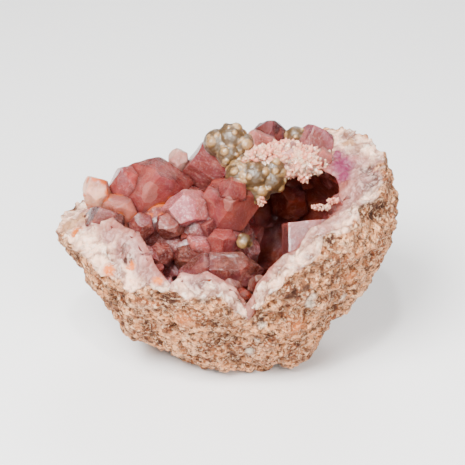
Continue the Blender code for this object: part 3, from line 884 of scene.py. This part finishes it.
def crust():
    """All of the crystals, grown into one and cut off inside the rock and its rind."""
    lining = folded_ball(LINING_SEGMENTS, 2 * LINING_ROWS, lining_point)
    lining.verts.layers.float.remove(lining.verts.layers.float["row"])
    push_out(lining, lambda point: layered(facets, point, LINING_CHIPS))
    grown = [(new_object(lining), "deep")]
    for seed, (*shape, kind) in enumerate((CRYSTALS | DETAILS).values()):
        grown.append((quartz(*shape, seed, edge=CRYSTAL_EDGE), kind))
    grown += lining_crystals()
    for middle, radii, count, lowest, radius_range, kinds in MASSES.values():
        grown.append((rounded_mass(middle, radii), kinds[0]))
        grown += crystals_on(middle, radii, count, lowest, radius_range, kinds)
    for number, (obj, kind) in enumerate(grown):
        if "tone" not in obj.data.attributes:
            obj.data.attributes.new("tone", "FLOAT", "FACE")
        layer = obj.data.attributes.new("grown", "INT", "FACE")
        layer.data.foreach_set("value", [number] * len(obj.data.polygons))
    kinds = [kind for obj, kind in grown]
    obj = joined("amethyst_crystals", [obj for obj, kind in reversed(grown)])
    obj = combined("amethyst_crystals", obj, "DIFFERENCE", [coarse_rock(INTO_ROCK)])
    obj = combined("amethyst_crystals", obj, "INTERSECT", [inside_of_rind()])
    keep_largest(obj)
    colour_crystals(obj.data, kinds)
    obj.data.shade_smooth()
    obj.data.set_sharp_from_angle(angle=math.radians(SHARP_ANGLE))
    placed(obj, "quartz", crystal_material(), "amethyst_crust")


def colour_crystals(mesh, kinds):
    """Store each crystal's colour and frost on its faces, the seams between crystals, which get painted
    shade and iron, and the windows, which get painted highlights.
    """
    grown = np.zeros(len(mesh.polygons), np.int32)
    mesh.attributes["grown"].data.foreach_get("value", grown)
    dice = random.Random(SHADE_SEED)
    tints = []
    for kind in kinds:
        shade = dice.uniform(*SHADES)
        tints.append([value * shade for value in KINDS[kind][0]] + [1.0])
    frosts = [KINDS[kind][1] for kind in kinds]
    set_values(mesh, "tint", np.array(tints)[grown], "FLOAT_COLOR", "FACE")
    set_values(mesh, "frost", np.array(frosts)[grown], "FLOAT", "FACE")

    edge_faces = {}
    for face in mesh.polygons:
        for key in face.edge_keys:
            edge_faces.setdefault(key, set()).add(int(grown[face.index]))
    seam_points = {index for key, found in edge_faces.items() if len(found) > 1 for index in key}
    tree = search_tree([mesh.vertices[index].co for index in seam_points])
    seam = [math.exp(-tree.find(vert.co)[2] / SEAM_WIDTH) for vert in mesh.vertices]
    set_values(mesh, "seam", seam)
    points = points_of(mesh)
    along_seams = nearness(points, IRON_SEAMS) * np.array(seam) * IRON_STRENGTH
    set_values(mesh, "iron", np.maximum(along_seams, nearness(points, IRON_SPOTS)))
    set_values(mesh, "window", nearness(points, WINDOWS))


# Druse


def frill():
    """Tiny crystals packed over the edge of the roof."""
    dice = random.Random(FRILL_SEED)
    bm = bmesh.new()
    for middle, radii, count, radius_range in FRILL:
        for spot, outward in spots_on(middle, radii, count, -1.0, dice):
            radius = dice.uniform(*radius_range)
            lean = Vector([dice.uniform(-FRILL_LEAN, FRILL_LEAN) for axis in range(3)])
            length = radius * dice.uniform(*FRILL_LENGTH)
            add_point(bm, spot, (outward + lean).normalized(), radius, length)
    placed(new_object(bm, "roof_frill"), "quartz", frill_material())


def add_point(bm, root, axis, radius, length):
    """Add a tiny six-sided crystal that is rooted at this point."""
    turn = axis.to_track_quat("Z", "Y").to_matrix().to_4x4()
    prism = FRILL_PRISM * length
    place = Matrix.Translation(root - axis * FRILL_ROOT * length) @ turn
    body = bmesh.ops.create_cone(
        bm, cap_ends=True, segments=6, radius1=radius, radius2=radius, depth=prism,
        matrix=place @ Matrix.Translation((0.0, 0.0, prism / 2.0)),
    )
    faces = {face for vert in body["verts"] for face in vert.link_faces}
    top = max(faces, key=lambda face: face.calc_center_median().dot(axis))
    poke = bmesh.ops.poke(bm, faces=[top])
    for vert in poke["verts"]:
        vert.co += axis * (length - prism)


# Calcite


def calcite(name, balls):
    """Balls of calcite, each covered with smaller ones, grown into one."""
    dice = random.Random(name)
    bm = bmesh.new()
    for middle, radius in balls:
        add_ball(bm, Vector(middle), radius)
        count = round(BUD_COUNT * radius * radius)
        for spot, outward in spots_on(middle, (radius,) * 3, count, BUD_LOWEST, dice):
            size = dice.uniform(*BUD_RADIUS)
            add_ball(bm, spot - outward * size * dice.uniform(*BUD_SUNK), size)
    obj = new_object(bm, name)
    remesh = obj.modifiers.new("remesh", "REMESH")
    remesh.mode = "VOXEL"
    remesh.voxel_size = CALCITE_VOXEL
    obj = applied(obj, name)
    bm = bmesh.new()
    bm.from_mesh(obj.data)
    soften(bm)
    push_out(bm, lambda point: layered(ripple, point, CALCITE_RELIEF))
    bm.to_mesh(obj.data)
    bm.free()
    # How far each point stands above its balls, which the painted shade in the creases follows
    points = points_of(obj.data)
    above = [np.linalg.norm(points - np.array(middle), axis=1) - radius for middle, radius in balls]
    set_values(obj.data, "above", np.min(above, axis=0))
    obj.data.shade_smooth()
    return obj


def add_ball(bm, middle, radius):
    """Add a ball to bm."""
    bmesh.ops.create_icosphere(bm, subdivisions=3, radius=radius, matrix=Matrix.Translation(middle))


# Materials


class Paint:
    """A material with a Principled shader, and short ways to add nodes to it. Sizes are in mm."""

    def __init__(self, name):
        self.material = bpy.data.materials.new(name)
        self.material.use_nodes = True
        self.nodes = self.material.node_tree.nodes
        self.links = self.material.node_tree.links
        self.shader = self.nodes["Principled BSDF"]
        self.place = self.nodes.new("ShaderNodeTexCoord").outputs["Object"]

    def put(self, socket, value):
        """Link an output to a socket, or set the socket's own value."""
        if isinstance(value, bpy.types.NodeSocket):
            self.links.new(value, socket)
        elif isinstance(value, tuple) and len(value) == 3 and socket.type == "RGBA":
            socket.default_value = (*value, 1.0)
        else:
            socket.default_value = value

    def add(self, kind, output, inputs, **settings):
        """One output of a new node of this kind, with these inputs and settings."""
        node = self.nodes.new("ShaderNode" + kind)
        for name, value in settings.items():
            setattr(node, name, value)
        for name, value in inputs.items():
            self.put(node.inputs[name], value)
        return node.outputs[output]

    def value(self, name, output="Fac"):
        """A value that the mesh holds."""
        return self.add("Attribute", output, {}, attribute_name=name)

    def squeezed(self, *factors):
        """The place, for a pattern that is drawn out along the axis with the least factor."""
        return self.add("Mapping", "Vector", {"Vector": self.place, "Scale": factors})

    def noise(self, size, detail=3.0, roughness=0.6, distortion=0.0, place=None):
        """Noise with patches of this size."""
        look = {"Detail": detail, "Roughness": roughness, "Distortion": distortion}
        inputs = {"Vector": place or self.place, "Scale": 1.0 / (size * MM), **look}
        return self.add("TexNoise", "Fac", inputs)

    def cells(self, size, output="Distance"):
        """Cells of this size: the distance to their middles, or a colour for each."""
        return self.add("TexVoronoi", output, {"Vector": self.place, "Scale": 1.0 / (size * MM)})

    def ramp(self, value, low=0.0, high=1.0, end=1.0, start=0.0):
        """The value, stretched so that low and high become start and end."""
        limits = {"From Min": low, "From Max": high, "To Min": start, "To Max": end}
        return self.add("MapRange", "Result", {"Value": value, **limits})

    def maths(self, operation, first, second):
        """What this operation makes of two values."""
        return self.add("Math", "Value", {0: first, 1: second}, operation=operation)

    def times(self, first, second):
        """One value times another."""
        return self.maths("MULTIPLY", first, second)

    def less(self, first, second):
        """One value less another."""
        return self.maths("SUBTRACT", first, second)

    def mix(self, colour, other, share):
        """A colour with a share of another."""
        return self.add("Mix", "Result", {"Factor": share, "A": colour, "B": other}, data_type="RGBA")

    def layers(self, colour, **layers):
        """A colour with others laid over it in turn. Each is named, and has a colour, and the value,
        low, high and end of the ramp that gives its share."""
        for name, (other, *share) in layers.items():
            colour = self.mix(colour, other, self.ramp(*share))
            colour.node.label = name
        return colour

    def bump(self, height, depth, **under):
        """A bump from heights of 0 to 1, this many mm deep, over another bump if need be."""
        return self.add("Bump", "Normal", {"Height": height, "Distance": depth * MM, **under})

    def set(self, **values):
        """Set or link the shader's sockets."""
        for name, value in values.items():
            self.put(self.shader.inputs[name.replace("_", " ")], value)


def rock_material():
    """Granular brown rind, and pale chipped quartz where it is broken, with painted shade in the rind's
    dents and the chips' low parts, and painted light on the raised chips.
    """
    paint = Paint("rock")
    height = paint.value("height")
    speckles = paint.cells(0.85, "Color")
    crumbs = paint.noise(1.2, 4.0, 0.7)
    iron = paint.value("iron")
    white = paint.value("white")
    tans = paint.ramp(paint.noise(7.0, 4.0, 0.6), 0.4, 0.6)
    whitened = paint.times(white, paint.noise(1.8, 4.0, 0.7))
    darkened = paint.times(paint.value("dark"), paint.noise(1.4, 4.0, 0.7))
    rind = paint.layers(
        paint.mix((0.24, 0.062, 0.018), (0.76, 0.31, 0.125), tans),
        dark_grains=((0.09, 0.026, 0.009), speckles, 0.42, 0.25, 0.7),
        pale_grains=((0.82, 0.44, 0.23), speckles, 0.58, 0.75, 0.6),
        pale_tops=((0.8, 0.47, 0.27), height, 0.5, 2.0, 0.7),
        # painted shade: the rind darkens in its dents, where less light reaches
        dark_dents=((0.05, 0.013, 0.005), height, 0.2, -2.0, 0.95),
        dark_crumbs=((0.045, 0.013, 0.005), paint.noise(1.8, 5.0, 0.75), 0.51, 0.42, 0.9),
        pale_crumbs=((0.86, 0.54, 0.33), crumbs, 0.53, 0.66, 0.8),
        white_patches=((0.9, 0.74, 0.58), whitened, 0.24, 0.6, 0.85),
        dark_patches=((0.05, 0.015, 0.006), darkened, 0.12, 0.42, 0.85),
        iron=((0.62, 0.15, 0.025), iron, 0.0, 1.0, 0.5),
    )

    lilac = paint.value("lilac")
    chip = paint.value("chip")
    inner = paint.value("inner")
    clouds = paint.ramp(paint.noise(6.0, 3.0, 0.5, 0.3), 0.46, 0.66)
    upright = paint.squeezed(1.0, 1.0, 1.0 / 6.0)
    streaks = paint.ramp(paint.noise(1.4, 4.0, 0.6, 0.4, upright), 0.47, 0.62)
    glass = paint.layers(
        paint.mix((0.06, 0.016, 0.014), (0.42, 0.16, 0.13), clouds),
        # painted shade in the low parts of the chips
        low_chips=((0.03, 0.008, 0.007), chip, 0.0, -1.4, 0.7),
        streaks=((0.88, 0.62, 0.52), streaks, 0.0, 1.0, 0.45),
    )
    greys = paint.times(paint.ramp(paint.noise(6.0, 4.0, 0.55, 0.5), 0.42, 0.58), 0.85)
    veins = paint.ramp(paint.noise(2.4, 4.0, 0.65, 0.8), 0.52, 0.66, 0.6)
    not_white = paint.less(1.0, paint.ramp(white, 0.1, 0.5))
    browned = paint.times(paint.value("tan"), paint.noise(1.6, 3.0))
    rusted = paint.times(iron, paint.noise(1.0, 3.0))
    quartz = paint.layers(
        paint.mix((0.94, 0.58, 0.4), (0.13, 0.04, 0.028), greys),
        # painted shade in the low parts of the chips, and painted light on their raised parts
        low_chips=((0.07, 0.02, 0.015), chip, 0.0, -1.6, 0.8),
        high_chips=((0.97, 0.7, 0.52), chip, 0.3, 1.3, 0.7),
        veins=((0.92, 0.76, 0.64), paint.times(veins, paint.ramp(lilac, 0.1, 0.5, 0.15, start=1.0))),
        glass=(glass, lilac, 0.1, 0.4, 0.95),
        inner_edge=((0.42, 0.19, 0.16), paint.times(paint.ramp(inner, 0.25, 0.7, 0.6), not_white)),
        hollow=((0.24, 0.06, 0.045), inner, 0.85, 1.0, 0.85),
        brown=((0.4, 0.2, 0.1), browned, 0.1, 0.3, 0.9),
        purple=((0.15, 0.007, 0.05), paint.value("purple"), 0.1, 0.7, 0.9),
        iron=((0.6, 0.14, 0.02), rusted, 0.08, 0.3),
    )

    broken = paint.value("broken")
    rough = paint.less(0.92, paint.times(broken, 0.68))
    coarse = paint.less(1.0, paint.times(broken, 0.5))
    fine = paint.bump(paint.times(crumbs, coarse), 0.8)
    normal = paint.bump(paint.times(paint.cells(1.2), coarse), 0.7, Normal=fine)
    paint.set(Base_Color=paint.mix(rind, quartz, broken), Roughness=rough, Normal=normal, IOR=1.5)
    paint.set(Subsurface_Weight=paint.times(broken, 0.3), Specular_IOR_Level=0.35)
    paint.set(Subsurface_Radius=(1.0, 0.5, 0.35), Subsurface_Scale=0.0008)
    return paint.material


def crystal_material():
    """Pink to purple quartz: light goes into it, and part of it through it. Its seams get painted shade,
    and a few windows painted highlights.
    """
    paint = Paint("amethyst")
    frost = paint.value("frost")
    tone = paint.value("tone")
    veil = paint.ramp(paint.noise(4.5, 5.0, 0.65, 1.2), 0.5, 0.72)
    curls = paint.noise(5.0, 1.0, 0.4, 2.5)
    threads = paint.times(paint.ramp(curls, 0.49, 0.505), paint.ramp(curls, 0.52, 0.505))
    dust = paint.ramp(paint.noise(0.8, 3.0, 0.7), 0.5, 0.7)
    rusted = paint.times(paint.value("iron"), paint.noise(2.0, 3.0))
    body = paint.layers(
        paint.value("tint", "Color"),
        lilac_clouds=((0.36, 0.085, 0.11), paint.noise(9.0, 2.0, 0.5, 0.6), 0.44, 0.6, 0.55),
        dark_clouds=((0.13, 0.014, 0.009), paint.noise(7.0, 3.0, 0.55, 0.5), 0.54, 0.34, 0.7),
        dark_faces=((0.13, 0.014, 0.009), tone, 0.0, -1.0, 0.35),
        pale_faces=((0.8, 0.26, 0.18), tone, 0.2, 1.0, 0.22),
        veils=((0.8, 0.26, 0.19), veil, 0.0, 1.0, 0.45),
        threads=((0.9, 0.58, 0.52), threads, 0.0, 1.0, 0.16),
        frost=((0.9, 0.56, 0.53), paint.times(dust, frost)),
        # painted shade along the seams between crystals, where less light gets in
        seams=((0.1, 0.007, 0.004), paint.value("seam"), 0.0, 1.0, 0.7),
        # painted highlight: paler clear windows where the faces shine
        windows=((0.84, 0.36, 0.29), paint.value("window"), 0.44, 0.5, 0.42),
        iron=((0.66, 0.13, 0.02), rusted, 0.14, 0.34, 0.95),
    )
    etched = paint.bump(paint.noise(0.7, 3.0, 0.6), 0.12)
    normal = paint.bump(paint.noise(3.0, 2.0), 0.28, Normal=etched)
    rough = paint.ramp(frost, 0.0, 1.0, 0.5, start=0.17)
    paint.set(Base_Color=body, Roughness=rough, Normal=normal, IOR=1.545)
    paint.set(Subsurface_Weight=0.6, Subsurface_Radius=(1.0, 0.35, 0.25), Subsurface_Scale=0.003)
    paint.set(Transmission_Weight=paint.ramp(frost, 0.0, 1.0, 0.2, start=0.65))
    paint.set(Coat_Weight=0.2, Coat_Roughness=0.06, Specular_IOR_Level=0.35)
    return paint.material


def frill_material():
    """Pale pink druse."""
    paint = Paint("druse")
    patch = paint.ramp(paint.noise(3.0), 0.4, 0.65)
    colour = paint.mix((0.9, 0.31, 0.21), (0.98, 0.56, 0.39), patch)
    paint.set(Base_Color=colour, Roughness=0.2, IOR=1.545, Transmission_Weight=0.2)
    paint.set(Subsurface_Weight=0.6, Subsurface_Radius=(1.0, 0.5, 0.4), Subsurface_Scale=0.0015)
    paint.set(Normal=paint.bump(paint.noise(0.4, 3.0), 0.08))
    return paint.material


def calcite_material():
    """Olive to honey calcite, with a pale crust in places, and painted shade in the creases between its
    balls.
    """
    paint = Paint("calcite")
    patch = paint.ramp(paint.noise(3.5), 0.4, 0.62)
    colour = paint.layers(
        paint.mix((0.21, 0.11, 0.034), (0.36, 0.2, 0.078), patch),
        pale_crust=((0.74, 0.54, 0.32), paint.noise(1.3, 4.0, 0.7), 0.54, 0.68, 0.75),
        dark_specks=((0.1, 0.06, 0.024), paint.noise(0.8, 3.0), 0.44, 0.3, 0.7),
        # painted shade in the creases between the balls
        creases=((0.045, 0.022, 0.007), paint.value("above"), 0.3, 0.0, 0.85),
    )
    paint.set(Base_Color=colour, Roughness=0.28, IOR=1.6, Coat_Weight=0.2, Coat_Roughness=0.12)
    paint.set(Subsurface_Weight=0.25, Subsurface_Radius=(1.0, 0.7, 0.35), Subsurface_Scale=0.0008)
    paint.set(Normal=paint.bump(paint.noise(0.5, 4.0, 0.7), 0.15))
    return paint.material


# Surroundings


def aimed(name, data, azimuth, elevation, distance):
    """A light or camera that looks at the stone from this side, as far away as this."""
    obj = bpy.data.objects.new(name, data)
    outward = direction(azimuth, elevation)
    obj.location = Vector(AIM) * MM + outward * distance
    obj.rotation_mode = "QUATERNION"
    obj.rotation_quaternion = (-outward).to_track_quat("-Z", "Y")
    bpy.context.scene.collection.objects.link(obj)
    return obj


def surroundings():
    """Floor, soft studio light and the camera."""
    bpy.ops.mesh.primitive_plane_add(size=FLOOR_SIZE)
    floor = bpy.context.object
    floor.name = "floor"
    paint = Paint("floor")
    paint.set(Base_Color=FLOOR_COLOUR, Roughness=0.6)
    floor.data.materials.append(paint.material)

    world = bpy.data.worlds.new("studio")
    world.use_nodes = True
    sky = world.node_tree.nodes["Background"]
    sky.inputs["Color"].default_value = SKY_COLOUR
    sky.inputs["Strength"].default_value = SKY_STRENGTH
    bpy.context.scene.world = world

    for name, (azimuth, elevation, distance, size, power) in LIGHTS.items():
        light = bpy.data.lights.new(name, "AREA")
        light.size = size
        light.energy = power
        aimed(name, light, azimuth, elevation, distance)

    camera = aimed("camera", bpy.data.cameras.new("camera"), 270.0, CAMERA_ELEVATION, CAMERA_DISTANCE)
    camera.data.lens = LENS
    bpy.context.scene.camera = camera


surroundings()
rock()
crust()
frill()
stone = calcite_material()
for node, balls in CALCITE.items():
    placed(calcite(node.replace("calcite", "calcite_growth"), balls), "calcite", stone, node)
